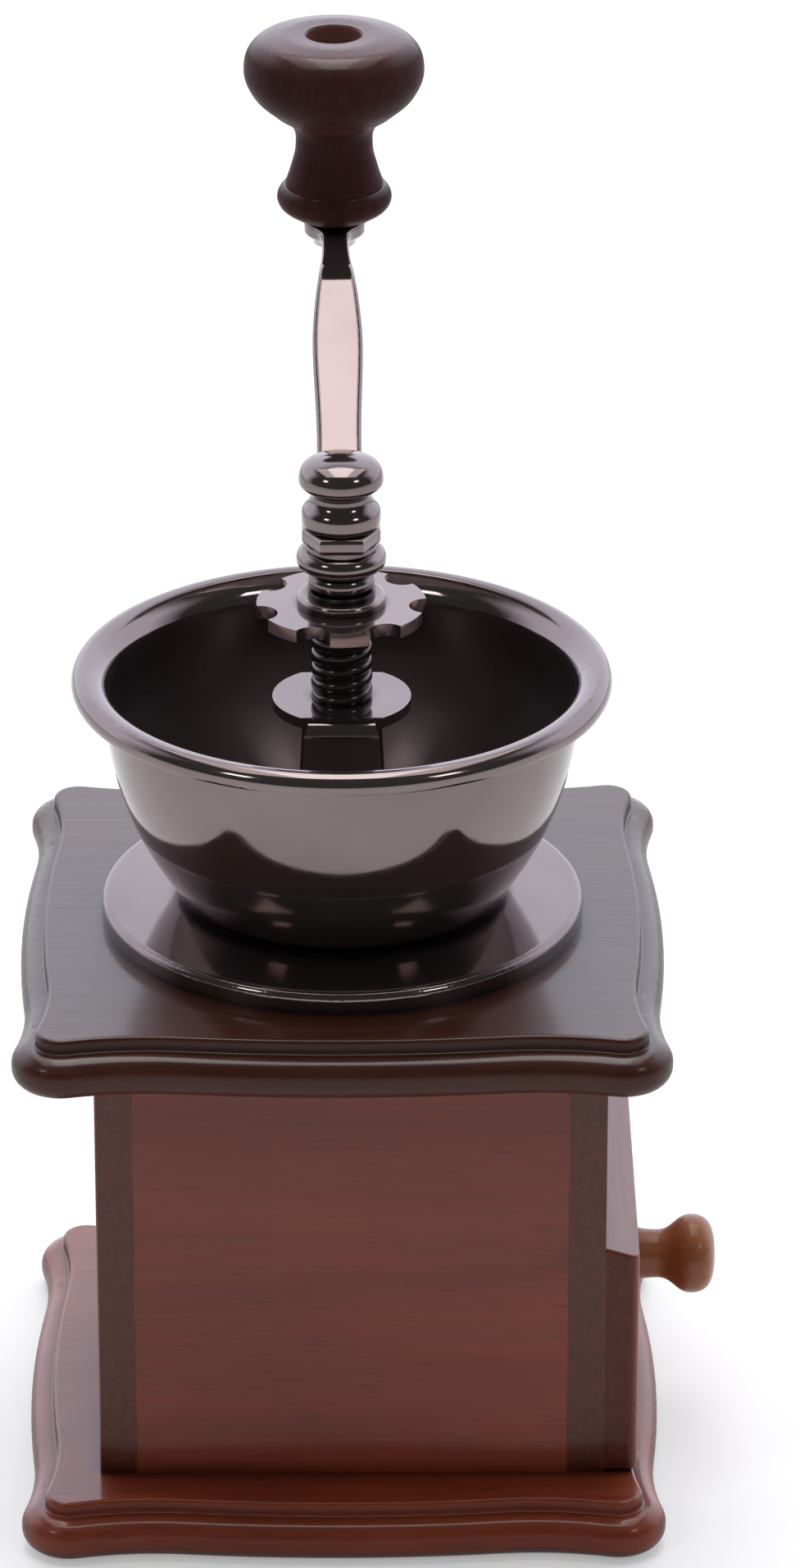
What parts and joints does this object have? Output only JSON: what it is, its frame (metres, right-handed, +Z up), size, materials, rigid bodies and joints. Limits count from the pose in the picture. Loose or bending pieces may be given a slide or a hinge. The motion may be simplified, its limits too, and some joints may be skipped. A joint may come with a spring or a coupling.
{
  "type": "burr coffee grinder",
  "caption": "Hand-cranked burr coffee mill: a wooden box with moulded plates, an open metal hopper bowl, a crank with a turned knob, a notched grind wheel and a drawer.",
  "frame": {"origin": "centre of the base plate's underside, on the spindle's axis", "axes": "+Z up along the spindle, +X the way the drawer opens, +Y the way the crank points at rest"},
  "size_m": [0.1308, 0.1571, 0.2507],
  "materials": {
    "case_wood": "satin",
    "drawer_wood": "matte",
    "knob_wood": "satin",
    "drawer_knob_wood": "satin",
    "black_nickel": "polished",
    "steel": "satin",
    "burr_iron": "matte"
  },
  "bodies": {
    "case": {"base_plate": "case_wood", "top_plate": "case_wood", "back_board": "case_wood", "front_board": "case_wood", "near_panel": "case_wood", "far_panel": "case_wood", "top_dowels": "drawer_wood", "hopper_foot": "black_nickel", "hopper_bowl": "black_nickel", "bridge": "black_nickel", "threaded_pillar": "black_nickel", "base_screws": "steel", "bridge_screws": "steel", "burr_spring": "steel", "burr_housing": "burr_iron", "outer_burr": "burr_iron"},
    "drawer": {"drawer_front": "case_wood", "drawer_near_side": "drawer_wood", "drawer_far_side": "drawer_wood", "drawer_back": "drawer_wood", "drawer_bottom": "drawer_wood", "drawer_knob": "drawer_knob_wood", "drawer_knob_screw": "steel"},
    "lift": {"thrust_washer": "steel"},
    "adjuster": {"adjusting_wheel": "black_nickel"},
    "crank": {"spindle": "steel", "inner_burr": "burr_iron", "burr_nut": "steel", "spindle_collar": "black_nickel", "crank_arm": "black_nickel", "dome_nut": "black_nickel", "knob_pin": "steel"},
    "knob": {"crank_knob": "knob_wood"}
  },
  "joints": [
    {"name": "drawer_slide", "type": "slide", "parent": "case", "child": "drawer", "axis": [1, 0, 0], "range_m": [0, 0.07]},
    {"name": "grind_lift", "type": "slide", "parent": "case", "child": "lift", "axis": [0, 0, 1], "range_m": [-0.00093, 0.00093], "deforming": ["burr_spring"]},
    {"name": "grind_adjust", "type": "hinge", "parent": "lift", "child": "adjuster", "pos_m": [0, 0, 0.1687], "axis": [0, 0, 1], "range_deg": [-120, 120]},
    {"name": "crank_spin", "type": "hinge", "parent": "lift", "child": "crank", "pos_m": [0, 0, 0.1807], "axis": [0, 0, 1], "continuous": true},
    {"name": "knob_spin", "type": "hinge", "parent": "crank", "child": "knob", "pos_m": [-0.00126, 0.07999, 0.2142], "axis": [0, 0, 1], "continuous": true}
  ],
  "couplings": [
    {"joint": "grind_adjust", "follows": "grind_lift", "rad_per_m": 2244}
  ]
}
